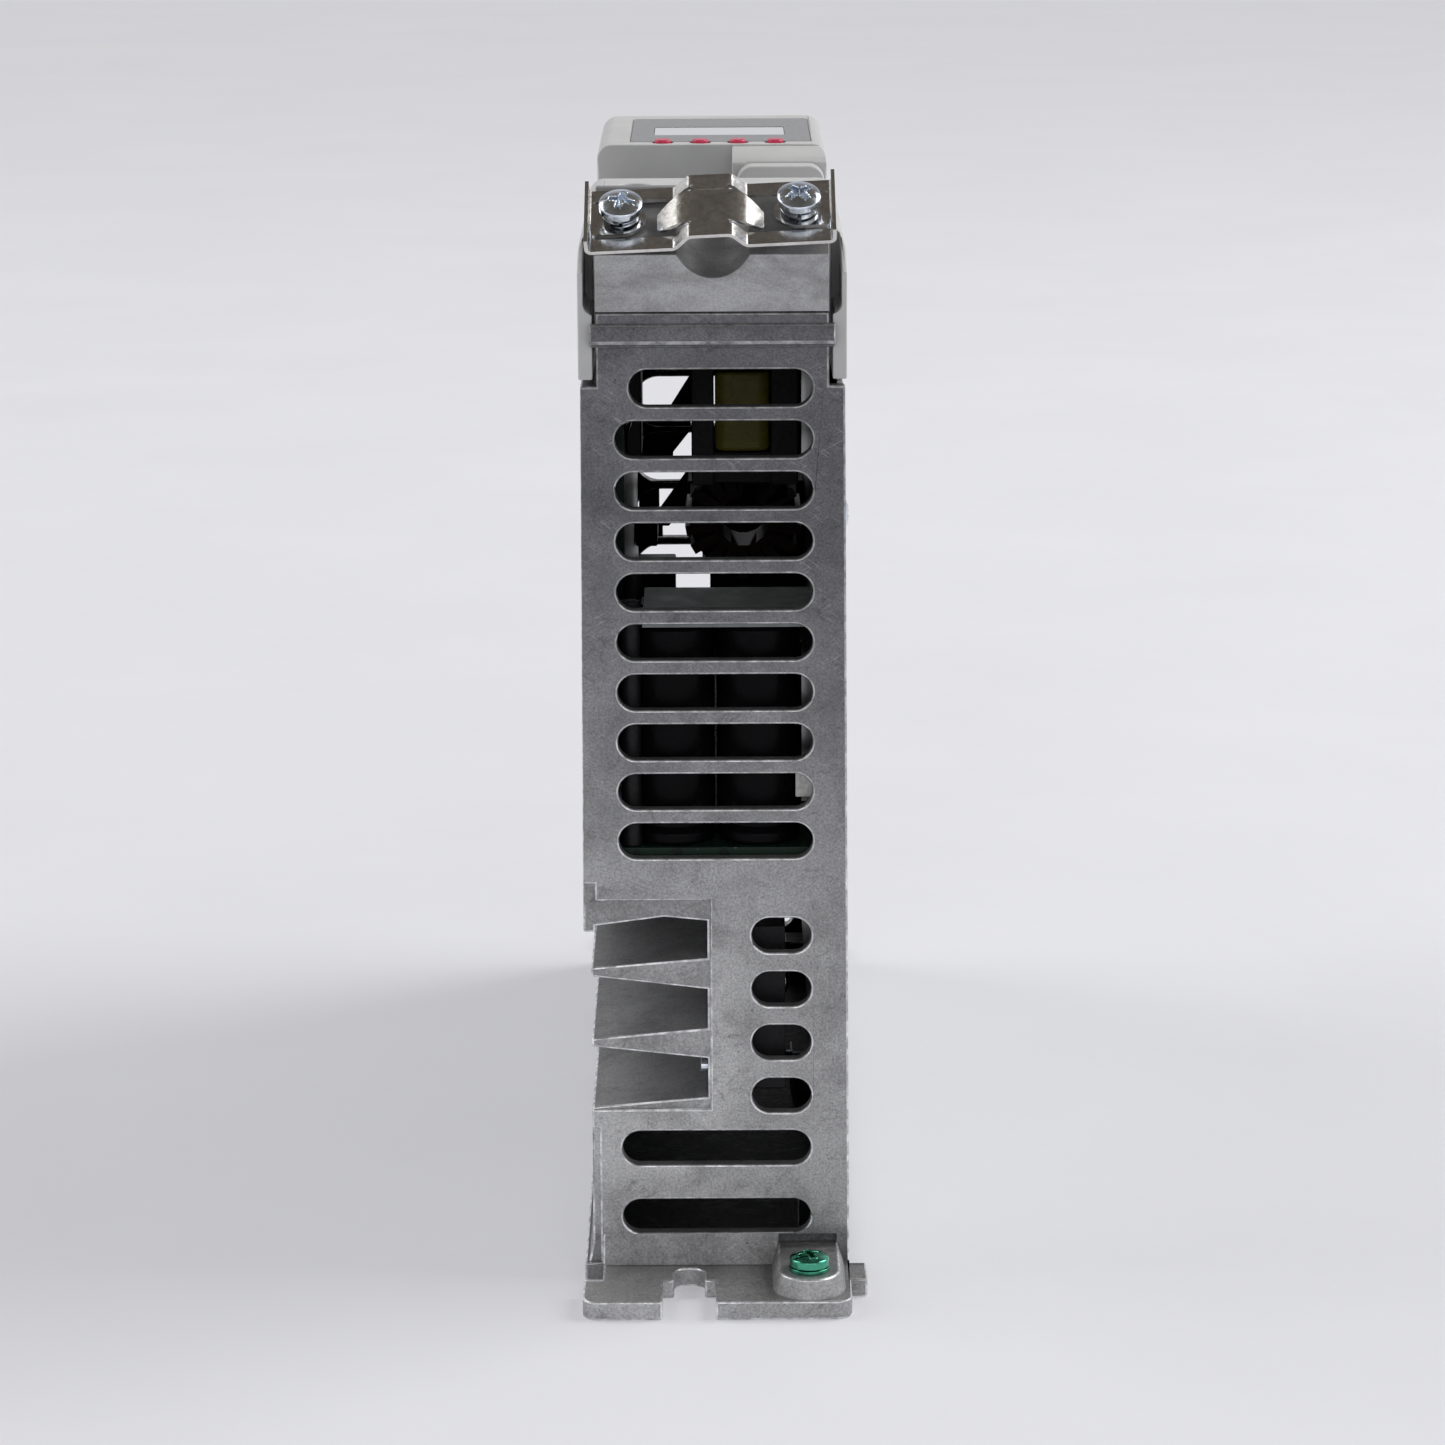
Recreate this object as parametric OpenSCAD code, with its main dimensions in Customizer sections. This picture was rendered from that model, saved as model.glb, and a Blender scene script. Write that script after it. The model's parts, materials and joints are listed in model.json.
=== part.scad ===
// Book-format power converter for a control cabinet.
// The mounting face lies on z = 0 and the operating front faces +Z.
// The cable end with the shield clamp faces -Y, and +X is the cover side.

/* [Chassis] */
// Width of the casting at its mounting face
base_w = 51.4; // [50.8:0.2:52]
// Width of the casting at the top of its end walls
top_w = 49.2; // [48.8:0.2:49.6]
// Distance between the outer faces of the end walls
body_l = 215; // [213:1:225]
// Height of the end walls up to the lip
wall_top = 183.3; // [182.8:0.1:183.6]
// Thickness of the cast walls
wall_t = 3; // [2.6:0.2:3.2]
// Thickness of the mounting plate
plate_t = 3.7; // [3.4:0.1:4]
// Length of the flange that passes each end wall
flange_l = 22; // [20:1:26]

/* [Vents] */
// Number of long slots in the upper field
vent_count = 10; // [6:1:10]
// Distance between neighbouring long slots
vent_pitch = 9.68; // [9.4:0.02:9.7]
// Opening height of a slot
vent_h = 6.9; // [6:0.1:7.2]
// Height of the lowest long slot of the upper field
vent_z = 88.4; // [88:0.1:89]

/* [Heat sink] */
// Lowest edge of the fin recess
sink_z0 = 34.8; // [34:0.2:35.4]
// Highest edge of the fin recess
sink_z1 = 76.6; // [76:0.2:77]
// Depth of the fin recess face behind the end wall
sink_inset = 0.6; // [0.4:0.1:1]

/* [Front] */
// Height of the front face above the mounting face
front_z = 203; // [202.6:0.1:203.4]
// Width of the front hood
hood_w = 50; // [49.8:0.1:50.2]
// Wall thickness of the hood
hood_t = 2.2; // [2:0.1:2.4]

/* [Cable clamp] */
// Slope of the clamp bed against the mounting face
bed_tilt = 31.5; // [30:0.5:33]
// Distance between the two clamp screws
clamp_pitch = 33; // [32:0.5:33.5]
// Sideways lean of the clamp on its screws
clamp_lean = 3.2; // [2.8:0.1:3.2]
// Thickness of the clamp sheet
sheet_t = 0.7; // [0.6:0.1:0.8]
// Radius of the cable bed
saddle_r = 8; // [7.6:0.1:8.2]

/* [Keys] */
// Distance between neighbouring keys
key_pitch = 8.2; // [8:0.1:8.4]
// Width of a key
key_w = 3.6; // [3.2:0.1:4]

/* [Hidden] */

half_l = body_l / 2;
near = -half_l;
far = half_l;
eps = 0.02;
slot_x0 = -18.3;
slot_x1 = 18.6;
top_slot_x0 = -15.6;
short_x0 = 6.9;
short_x1 = 18.3;
short_z = [37.5, 48.2, 58.9, 69.6];
low_z = [13.0, 26.9];
far_vent_z = 97.2;
far_vent_pitch = 13.3;
far_vent_h = 11.4;
notch_x = -5.4;
mouth_w = 10.2;
mouth_l = 11.7;
neck_w = 5.9;
neck_l = 15.4;
hole_r = 2.8;
lug_x = 28.9;
ground_x = 17.6;
ground_y = -half_l - 14.5;
boss_top = 7.4;
sink_x = -1.6;
cavity_x = 2.4;
cover_x0 = 23.1;
cover_x1 = 24.3;
lip_z = 189.6;
bed_front_z = 200.35;
bed_y = -half_l + 0.3;
bed_len = 20;
clamp_lift = 1.33;
screw_s = 9.4;
screw_mid = -0.35;
saddle_rise = 4.3;
strip_near = [0, 3.4];
strip_far = [14.5, 17.8];
band_near = 4.4;
band_far = [11.3, 13.3];
lip_h = 3.2;
head_rise = [3.3, 4.95];
shank_r = 2.0;
tap_r = 2.08;
key_y = 53.6;
key_x0 = -10.7;
block_y = 49.6;
panel_x0 = -17.7;
panel_x1 = 21.7;
panel_y0 = 54.6;
panel_y1 = 100.5;
lens_x0 = -12.8;
lens_x1 = 16.2;
lens_y0 = 67.2;
lens_y1 = 83.4;
power_well = [-82, -34];
signal_well = [-11.5, block_y];
board_x = 20.3;
board_t = 1.6;
cap_r = 8;
cap_x = [-7.9, 8.4];
cap_y = [-95.3, -78.7];
cover_posts = [[-84, 9], [0, 9], [84, 9], [-98.5, 78], [98.5, 78], [-98.5, 150], [98.5, 150]];
power_board_y = [-84, 0, 84];
power_board_z = [20, 168];
control_board_y = [-50, 40];
control_board_z = [102, 160];
module_y = [-98.5, -41.5];
module_z = 40.8;
hood_screw_x = 15.5;
hood_screw_y = -22.8;
head_recess = 1.6;
screw_side = [-clamp_pitch / 2, clamp_pitch / 2];

function half_w(z) = (base_w + (top_w - base_w) * z / wall_top) / 2;

// Block between two corners
module block(x, y, z) {
    translate([x[0], y[0], z[0]])
        cube([x[1] - x[0], y[1] - y[0], z[1] - z[0]]);
}

// Extrusion of an X-Z outline along Y
module along_y(y) {
    translate([0, y[1], 0])
        rotate([90, 0, 0])
            linear_extrude(y[1] - y[0])
                children();
}

// Extrusion of a Y-Z outline along X
module along_x(x) {
    translate([x[0], 0, 0])
        rotate([90, 0, 90])
            linear_extrude(x[1] - x[0])
                children();
}

// Rectangle with round corners
module round_rect(x, y, r) {
    translate([x[0] + r, y[0]])
        square([x[1] - x[0] - 2 * r, y[1] - y[0]]);
    translate([x[0], y[0] + r])
        square([x[1] - x[0], y[1] - y[0] - 2 * r]);
    for (cx = [x[0] + r, x[1] - r])
        for (cy = [y[0] + r, y[1] - r])
            translate([cx, cy])
                circle(r, $fn = 48);
}

// Upright block with round vertical edges
module round_block(x, y, z, r) {
    translate([0, 0, z[0]])
        linear_extrude(z[1] - z[0])
            round_rect(x, y, r);
}

// Slot with full-round ends through an end wall
module vent(x, z, h, y) {
    along_y(y)
        round_rect(x, [z - h / 2, z + h / 2], h / 2 - 0.01);
}

// Upright cylinder
module post(x, y, z, r) {
    translate([x, y, z[0]])
        cylinder(h = z[1] - z[0], r = r, $fn = 48);
}

// Cylinder along X
module post_x(x, y, z, r) {
    translate([x[0], y, z])
        rotate([0, 90, 0])
            cylinder(h = x[1] - x[0], r = r, $fn = 48);
}

// Cylinder along Y
module post_y(x, y, z, r) {
    translate([x, y[1], z])
        rotate([90, 0, 0])
            cylinder(h = y[1] - y[0], r = r, $fn = 48);
}

// Pan head screw standing on z = 0, with its shank below
module pan_screw(head_r, head_h, r, length) {
    difference() {
        union() {
            intersection() {
                cylinder(h = head_h, r = head_r, $fn = 64);
                translate([0, 0, head_h - 2.2 * head_r])
                    sphere(r = 2.2 * head_r, $fn = 96);
            }
            translate([0, 0, -length])
                cylinder(h = length + eps, r = r, $fn = 48);
        }
        for (a = [0, 90])
            rotate([0, 0, a])
                translate([-head_r * 0.55, -head_r * 0.11, head_h * 0.45])
                    cube([head_r * 1.1, head_r * 0.22, head_h]);
    }
}

// Frame on the sloped cable bed: X across, Y up the slope, Z away from it
module on_bed() {
    translate([0, bed_y, bed_front_z])
        rotate([bed_tilt, 0, 0])
            children();
}

// Outline of the cast section between the end walls
module section_solid() {
    hb = half_w(0);
    polygon([[-hb, 0], [-24.1, plate_t + 4], [-24.0, sink_z0 - 0.6], [-23.9, sink_z0 + 0.3],
        [sink_x, sink_z0 + 2.3], [sink_x, sink_z1 - 4.2], [-9.8, sink_z1 - 3.4],
        [-23, sink_z1 - 5.1], [-23, 70.3], [-half_w(70.3), 70.3], [-half_w(wall_top), wall_top],
        [half_w(wall_top), wall_top], [hb, 0]]);
}

// Outline of the electronics space inside the section
module section_space() {
    polygon([[-21, plate_t], [-21, 31], [cavity_x, 33], [cavity_x, sink_z1 + 2.4],
        [-half_w(80) + wall_t, sink_z1 + 1.6], [-half_w(wall_top) + wall_t, wall_top + 10],
        [30, wall_top + 10], [30, plate_t]]);
}

// Outline of the two heat sink fins
module fins_outline() {
    polygon([[sink_x + eps, 64.98], [-23.9, 63.2], [-23.9, 61.4], [sink_x + eps, 58.74]]);
    polygon([[sink_x + eps, 50.92], [-23.9, 48.95], [-23.9, 47.3], [sink_x + eps, 44.83]]);
}

// Mounting flange outline seen from the front
module flange_outline() {
    hb = half_w(0);
    difference() {
        union() {
            round_rect([-hb, hb], [near - flange_l, far + flange_l], 3);
            for (y = [near - 10, far + 1])
                translate([hb - 2, y])
                    square([lug_x - hb + 2, 9]);
        }
        // Open slot with a wide mouth, and the hole at the far end
        translate([notch_x - mouth_w / 2, near - flange_l - 1])
            square([mouth_w, 1 + mouth_l]);
        translate([notch_x - neck_w / 2, near - flange_l])
            square([neck_w, neck_l]);
        translate([notch_x, near - flange_l + neck_l])
            circle(neck_w / 2, $fn = 48);
        translate([notch_x, far + 12])
            circle(hole_r, $fn = 48);
        // Relief behind the lug
        for (y = [near - 10.3, far + 0.7])
            translate([-hb - 1, y])
                square([lug_x - hb + 1.4, 9.6]);
    }
}

// Ridge and ledge above the near end wall
module lip() {
    along_x([-21.65, 21.65])
        polygon([[near + wall_t, wall_top - eps], [near, wall_top - eps], [near, 188],
            [near + 0.4, lip_z], [near + wall_t, lip_z]]);
}

// Ridge along the near end, wider than the wall behind it
module ridge() {
    along_x([-22.9, 22.9])
        polygon([[near + 0.4, wall_top], [near - 0.9, wall_top], [near - 1.7, wall_top + 0.9],
            [near - 1.7, wall_top + 1.9], [near - 0.5, wall_top + 4.3], [near + 0.4, wall_top + 4.3]]);
}

// Sloped foot between the near end wall and the flange
module wall_foot() {
    along_x([-22.2, ground_x - 5.9])
        polygon([[near + 1, 9.4], [near, 9.4], [near - 0.9, 7.4], [near - 1.9, plate_t - eps],
            [near + 1, plate_t - eps]]);
}

module chassis_casting() {
    color([0.47, 0.47, 0.48]) {
    ridge();
    difference() {
        union() {
            difference() {
                along_y([near + wall_t - eps, far - wall_t + eps])
                    section_solid();
                along_y([near + wall_t, far - wall_t])
                    section_space();
            }
            along_y([near, near + wall_t])
                section_solid();
            along_y([far - wall_t, far])
                section_solid();
            along_y([near + sink_inset, far - sink_inset])
                fins_outline();
            linear_extrude(plate_t)
                flange_outline();
            lip();
            wall_foot();
            ground_boss();
            for (p = cover_posts)
                post_foot(p);
            hood_rail();
        }
        // Recessed face of the fin field at both ends
        for (y = [[near - 1, near + sink_inset], [far - sink_inset, far + 1]])
            along_y(y)
                polygon([[-40, sink_z0], [sink_x + 0.5, sink_z0], [sink_x + 0.5, sink_z1],
                    [-23, sink_z1], [-23, 80], [-40, 80]]);
        // Vent slots of the near end wall
        for (i = [0:vent_count - 1])
            vent([i == vent_count - 1 ? top_slot_x0 : slot_x0, slot_x1], vent_z + i * vent_pitch, vent_h,
                [near - 3, near + wall_t + 1]);
        for (z = short_z)
            vent([short_x0, short_x1], z, vent_h, [near - 3, near + wall_t + 1]);
        for (z = low_z)
            vent([slot_x0 + 0.1, slot_x1 - 0.4], z, vent_h, [near - 3, near + wall_t + 1]);
        // Larger windows of the far end wall
        for (i = [0:5])
            vent([slot_x0, slot_x1], far_vent_z + i * far_vent_pitch, far_vent_h,
                [far - wall_t - 1, far + 3]);
        for (z = short_z)
            vent([short_x0, short_x1], z, vent_h, [far - wall_t - 1, far + 3]);
        for (z = low_z)
            vent([slot_x0, slot_x1], z, vent_h, [far - wall_t - 1, far + 3]);
        // Shoulders that the hood's ears cover
        for (s = [-1, 1])
            translate([s * 25.65, 0, 186])
                cube([8, 300, 20.2], center = true);
        block([-30, 30], [near + wall_t, hood_screw_y - 4], [175.9, 210]);
        block([-30, 30], [hood_screw_y + 4, far + 1], [175.9, 210]);
        for (x = [-hood_screw_x, hood_screw_x])
            post(x, hood_screw_y, [180, 210], 1.55);
        // Threads for the power module
        for (y = module_y)
            post_x([sink_x - 5, cavity_x + 5], y, module_z, 1.55);
        // Shallow step at the edge of the near end wall
        block([-30, -22.6], [near - 3, near + 0.35], [plate_t, 31]);
        // Niche above the ground terminal, and its thread
        round_block([ground_x - 5.6, ground_x + 5.6], [near - 20, near + 1.4], [boss_top, 9.3], 1);
        post(ground_x, ground_y, [1, 20], tap_r);
        // Threads for the cover screws
        for (p = cover_posts)
            post_x([14, 30], p[0], p[1], 1.3);
    }
    }
}

// Cast bar with two posts that take the hood screws
module hood_rail() {
    block([-23, 17.5], [hood_screw_y - 3.6, hood_screw_y + 3.6], [170.5, 175.9]);
    for (x = [-hood_screw_x, hood_screw_x])
        post(x, hood_screw_y, [175.9 - eps, front_z - hood_t - head_recess - 0.1], 3.2);
}

// Boss that takes a cover screw
module post_foot(p) {
    if (p[1] < 20)
        block([16, cover_x0], [p[0] - 4, p[0] + 4], [plate_t - eps, p[1] + 4]);
    else
        block([19.2, cover_x0], p[0] < 0 ? [near + 1, p[0] + 4] : [p[0] - 4, far - 1],
            [p[1] - 4, p[1] + 4]);
}

module ground_boss() {
    foot_r = 7;
    top_r = 5.8;
    translate([ground_x, ground_y, plate_t - eps])
        cylinder(h = boss_top - plate_t, r1 = foot_r, r2 = top_r, $fn = 64);
    along_y([ground_y, near + eps])
        polygon([[ground_x - foot_r, plate_t - eps], [ground_x + foot_r, plate_t - eps],
            [ground_x + top_r, boss_top - eps], [ground_x - top_r, boss_top - eps]]);
}

module side_cover() {
    color([0.55, 0.56, 0.58])
    difference() {
        block([cover_x0 + eps, cover_x1], [near + wall_t + 0.2, far - wall_t - 0.2],
            [plate_t + 0.1, 176.2]);
        for (p = cover_posts)
            post_x([20, 30], p[0], p[1], 1.9);
    }
}

module cover_screws() {
    color([0.7, 0.72, 0.74])
    for (p = cover_posts)
        translate([cover_x1 + eps, p[0], p[1]])
            rotate([0, 90, 0])
                pan_screw(2.9, 1.3, 1.25, 6.5);
}

// Solid outline of the hood before it is hollowed
module hood_outer() {
    hw = hood_w / 2;
    intersection() {
        along_y([near + 0.6, far])
            round_rect([-hw, hw], [150, front_z], 3.2);
        translate([0, 0, 177])
            linear_extrude(40)
                round_rect([-hw, hw], [near - 20, far], 5);
        union() {
            along_x([-30, 30])
                polygon([[near - 1, 176], [near - 1, 196.4], [near + 3, 198], [near + 18, front_z],
                    [power_well[0], front_z + 1], [signal_well[0], front_z + 1],
                    [signal_well[0] + 1.2, 193.5], [block_y, 193.5], [block_y, 210],
                    [far + 1, 210], [far + 1, 176]]);
            // Sloped shoulder beside the signal well
            along_x([4.4, 30])
                polygon([[block_y + 5, front_z], [block_y + 2, front_z - 0.05],
                    [block_y - 1, front_z - 0.7], [block_y - 4, front_z - 2.4],
                    [block_y - 5.2, front_z - 3.6], [block_y - 5.2, 186], [block_y + 5, 186]]);
        }
    }
}

module front_hood() {
    hw = hood_w / 2;
    color([0.77, 0.77, 0.75])
    difference() {
        hood_outer();
        // Hollow inside, open towards the chassis
        block([-hw + hood_t, hw - hood_t], [near + 24, far - hood_t], [170, 186]);
        block([-hw + hood_t, hw - hood_t], [block_y + hood_t, far - hood_t], [170, front_z - hood_t]);
        block([-hw + hood_t, hw - hood_t], [power_well[1] + 2, signal_well[0] - 2],
            [170, front_z - hood_t - head_recess]);
        // Bay of the cable clamp between the ears
        block([-hw + hood_t + 0.5, hw - hood_t - 0.5], [near - 5, near + 24 + eps], [170, 230]);
        along_y([near - 5, near + 20])
            round_rect([-24, 24], [189.2, 240], 2);
        block([-26, 26], [near - 5, near + 3], [203, 230]);
        // Wells for the power and the signal connections
        round_block([-21.6, 21.6], power_well, [183.9, 230], 1.5);
        round_block([-21.6, 3.4], [signal_well[0] + 2, block_y - eps], [183.9, 230], 1.5);
        round_block([6.2, 23.4], [28, block_y - 5], [183.9, 230], 2);
        block([-18, 18], [-76, -40], [170, 190]);
        block([-20.4, -4.6], [-8, 27], [170, 190]);
        block([-20.4, 2.2], [29, 47], [170, 190]);
        block([8, 21.6], [30, 42.5], [170, 190]);
        block([6.4, 21.6], [-6, 26], [170, 230]);
        // Seat of the display panel and the openings under it
        block([panel_x0 - 0.15, panel_x1 + 0.15], [panel_y0 - 0.15, panel_y1 + 0.15],
            [front_z - 0.4, 230]);
        block([lens_x0 - 0.8, lens_x1 + 0.8], [lens_y0 - 0.8, lens_y1 + 0.8], [190, 230]);
        for (i = [0:3])
            key_hole(i);
        // Far cable outlet above the mains plug
        block([-17, 17], [far - 9, far + 5], [170, 191.6]);
        // Recessed holes of the fixing screws
        for (x = [-hood_screw_x, hood_screw_x]) {
            post(x, hood_screw_y, [180, 230], 1.7);
            post(x, hood_screw_y, [front_z - head_recess, 230], 3.2);
        }
    }
}

// Clearance hole of one key
module key_hole(i) {
    translate([key_x0 + i * key_pitch, key_y, 190])
        linear_extrude(40)
            round_rect([-key_w / 2 - 0.3, key_w / 2 + 0.3], [-2.6, 2.6], key_w / 2 + 0.2);
}

module hood_screws() {
    color([0.7, 0.72, 0.74])
    for (x = [-hood_screw_x, hood_screw_x])
        translate([x, hood_screw_y, front_z - head_recess + eps])
            pan_screw(2.9, 1.3, 1.5, 14);
}

module display_panel() {
    color([0.56, 0.56, 0.57])
    difference() {
        round_block([panel_x0, panel_x1], [panel_y0, panel_y1], [front_z - 0.38, front_z + 0.05], 1.2);
        round_block([lens_x0, lens_x1], [lens_y0, lens_y1], [190, 230], 0.8);
        for (i = [0:3])
            key_hole(i);
    }
}

module display_window() {
    color([0.82, 0.83, 0.83])
    round_block([lens_x0 + 0.05, lens_x1 - 0.05], [lens_y0 + 0.05, lens_y1 - 0.05],
        [front_z - 1.4, front_z - 0.05], 0.7);
}

module display_module() {
    color([0.2, 0.22, 0.2]) {
        block([lens_x0 - 1.5, lens_x1 + 1.5], [lens_y0 - 3, lens_y1 + 3], [194, 196.2]);
        block([lens_x0 + 0.5, lens_x1 - 0.5], [lens_y0 + 0.5, lens_y1 - 0.5], [196.2 - eps, 201.4]);
    }
}

module keypad_board() {
    color([0.16, 0.3, 0.2]) {
        block([-19, 20], [52.6, 104], [192.2, 193.8]);
        for (i = [0:3])
            translate([key_x0 + i * key_pitch - 2, key_y - 1, 193.8 - eps])
                cube([4, 3, 2.4]);
    }
}

// One oval push key with its stem
module key(i) {
    color([0.75, 0.06, 0.2])
    translate([key_x0 + i * key_pitch, key_y, 0]) {
        translate([0, 0, 196.9])
            linear_extrude(front_z + 0.7 - 196.9)
                round_rect([-key_w / 2, key_w / 2], [-2.2, 2.2], key_w / 2 - 0.01);
        translate([-2.6, -0.9, 196.9])
            cube([5.2, 3.4, 1.2]);
    }
}

module ribbon_cable() {
    color([0.12, 0.12, 0.13]) {
        along_y([74, 74.9])
            polygon([[-15.2, 113.5], [-10.2, 113.5], [6.6, 133.8], [6.6, 143.8]]);
        block([6.4, 11.4], [74, 74.9], [133.8, 192.1]);
        block([-16.6, -11.6], [74, 74.9], [111, 113.6]);
    }
}

module shield_bracket() {
    back = bed_y + bed_len * cos(bed_tilt);
    top = bed_front_z + bed_len * sin(bed_tilt);
    color([0.6, 0.6, 0.6])
    difference() {
        union() {
            along_x([-21.8, 21.7])
                polygon([[bed_y, lip_z + 0.1], [bed_y, bed_front_z], [back, top],
                    [back + 3, top], [back + 3, lip_z + 0.1]]);
            block([-20, 20], [near + wall_t + 0.1, near + wall_t + 2.6], [181, lip_z + 0.2]);
        }
        along_x([-19, 19])
            polygon([[bed_y + 5.5, 170], [bed_y + 5.5, bed_front_z - 2.6],
                [back, top - 6.2], [back, 170]]);
        on_bed() {
            translate([0.2, -10, saddle_rise])
                rotate([-90, 0, 0])
                    cylinder(h = 60, r = saddle_r, $fn = 96);
            for (x = screw_side)
                translate([x + screw_mid, screw_s, -12])
                    cylinder(h = 20, r = tap_r, $fn = 48);
        }
        for (x = [-14, 14])
            post_y(x, [near + 2, near + 8], 185.4, 1.6);
    }
}

module bracket_screws() {
    color([0.7, 0.72, 0.74])
    for (x = [-14, 14])
        translate([x, near + wall_t + 2.6 + eps, 185.4])
            rotate([-90, 0, 0])
                pan_screw(2.7, 1.6, 1.5, 2.4);
}

// Raised profile of a clamp strip, in X and in height above the strip
module strip_outline(w) {
    polygon([[-w, 0], [-7.1, 0], [-3.6, 2.7], [3.6, 2.7], [7.1, 0], [w, 0], [w, sheet_t],
        [6.8, sheet_t], [3.4, 2.7 + sheet_t], [-3.4, 2.7 + sheet_t], [-6.8, sheet_t], [-w, sheet_t]]);
}

// Frame of the clamp: the bed, lifted and leaning on its screws
module on_clamp() {
    on_bed()
        translate([-0.2, 0, clamp_lift])
            rotate([0, -clamp_lean, 0])
                children();
}

module shield_clamp() {
    color([0.62, 0.6, 0.56])
    on_clamp() {
        for (s = [strip_near, strip_far])
            along_y(s)
                strip_outline(22.9);
        along_y([strip_near[1] - eps, strip_far[0] + eps])
            polygon([[-3.9, 2.6], [3.9, 2.6], [3.6, 2.7 + sheet_t], [-3.6, 2.7 + sheet_t]]);
        // Band that presses on the cable
        along_y([band_near, band_far[0]])
            polygon([[-9.7, 0.5], [-8.9, 0.2], [-7.6, 1.2], [-3.6, 2.7], [3.6, 2.7], [7.6, 1.2],
                [8.9, -0.6], [9.7, -0.4], [8.3, 1.7], [3.6, 2.7 + sheet_t], [-3.6, 2.7 + sheet_t],
                [-8.3, 1.7]]);
        for (s = [-1, 1]) {
            block([min(s * 22.6, s * 23.3), max(s * 22.6, s * 23.3)], [0, strip_far[1]], [0, lip_h]);
            clamp_fork(s);
        }
    }
}

// Tab of the clamp that lies around one screw
module clamp_fork(s) {
    cx = s * clamp_pitch / 2 + screw_mid + 0.2;
    difference() {
        union() {
            block([min(cx, s * 22.8), max(cx, s * 22.8)], [screw_s - 4.6, screw_s + 4.6],
                [0, sheet_t]);
            post(cx, screw_s, [0, sheet_t], 4.6);
        }
        post(cx, screw_s, [-1, 3], 2.6);
    }
}

// One clamp screw; the right one stands further out
module clamp_screw(side, lift) {
    color([0.68, 0.71, 0.75])
    on_bed()
        translate([side * clamp_pitch / 2 + screw_mid, screw_s, lift])
            rotate([0, 0, 28 * side + 12])
                pan_screw(4.1, 2.5, shank_r, 12);
}

module clamp_washers() {
    color([0.6, 0.62, 0.64])
    on_bed()
        for (i = [0, 1])
            translate([(2 * i - 1) * clamp_pitch / 2 + screw_mid, screw_s, head_rise[i] - 1.72])
                difference() {
                    cylinder(h = 1.7, r = 3.6, $fn = 48);
                    translate([0, 0, -1])
                        cylinder(h = 8, r = 2.15, $fn = 48);
                    translate([0, -0.4, -1])
                        cube([8, 0.8, 5]);
                }
}

module ground_screw() {
    color([0.2, 0.5, 0.36])
    translate([ground_x, ground_y, boss_top + 0.85])
        rotate([0, 0, 20])
            pan_screw(3.8, 2.6, shank_r, 6.5);
}

module ground_washer() {
    color([0.24, 0.5, 0.38])
    translate([ground_x, ground_y, boss_top + 0.02])
        difference() {
            cylinder(h = 0.8, r = 3.9, $fn = 64);
            translate([0, 0, -1])
                cylinder(h = 3, r = 2.15, $fn = 48);
        }
}

module power_board() {
    color([0.1, 0.22, 0.15])
    difference() {
        union() {
            block([board_x, board_x + board_t], [-92, 92], [14, 174]);
            block([board_x, board_x + board_t], [near + 4, -91], [88, 140]);
        }
        for (y = power_board_y)
            for (z = power_board_z)
                post_x([15, 30], y, z, 1.7);
    }
}

module control_board() {
    color([0.1, 0.2, 0.14])
    difference() {
        block([-19.2, -17.6], [-60, 96], [92, 166]);
        for (y = control_board_y)
            for (z = control_board_z)
                post_x([-30, -10], y, z, 1.7);
    }
}

module board_spacers() {
    color([0.62, 0.63, 0.62]) {
        for (y = power_board_y)
            for (z = power_board_z)
                post_x([board_x + board_t + 0.01, cover_x0], y, z, 2.6);
        for (y = control_board_y)
            for (z = control_board_z)
                post_x([-21.6, -19.21], y, z, 2.6);
    }
}

module board_screws() {
    color([0.7, 0.72, 0.74]) {
        for (y = power_board_y)
            for (z = power_board_z)
                translate([board_x - eps, y, z])
                    rotate([0, -90, 0])
                        pan_screw(2.7, 1.5, 1.5, board_t);
        for (y = control_board_y)
            for (z = control_board_z)
                translate([-17.6 + eps, y, z])
                    rotate([0, 90, 0])
                        pan_screw(2.7, 1.5, 1.5, board_t);
    }
}

module capacitor_board() {
    color([0.1, 0.22, 0.15])
    block([-18.8, board_x - 0.1], [near + wall_t + 0.5, -69], [84.6, 86.2]);
}

module bus_capacitors() {
    color([0.05, 0.05, 0.055])
    for (x = cap_x)
        for (y = cap_y)
            translate([x, y, 0])
                rotate_extrude($fn = 72)
                    polygon([[0, 86.25], [cap_r - 0.5, 86.25], [cap_r, 86.8], [cap_r, 88.4],
                        [cap_r - 0.6, 89.2], [cap_r, 90], [cap_r, 128.2], [cap_r - 0.8, 129],
                        [0, 129]]);
}

module insulating_deck() {
    color([0.17, 0.2, 0.19])
    block([-13.6, board_x - 0.2], [near + wall_t + 0.3, -71.4], [129.3, 130.1]);
}

module deck_pillars() {
    color([0.06, 0.06, 0.065])
    for (y = [-101.6, -72.5])
        post(-15.9, y, [86.25, 134], 1.9);
}

module transformer_core() {
    color([0.09, 0.09, 0.1])
    difference() {
        block([-4.2, 16.6], [-70, -44], [150, 174.6]);
        block([0.2, 11.2], [-71, -43], [156.4, 173]);
        block([0.2, 11.2], [-71, -68.5], [140, 190]);
    }
}

module transformer_winding() {
    color([0.62, 0.55, 0.2])
    round_block([0.4, 11], [-72.6, -41.6], [157.2, 172.8], 2.4);
}

module filter_choke() {
    color([0.1, 0.11, 0.11])
    translate([6.4, 18, 127])
        rotate([90, 0, 0])
            rotate_extrude($fn = 64)
                translate([6.4, -6])
                    square([5, 12]);
}

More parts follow.
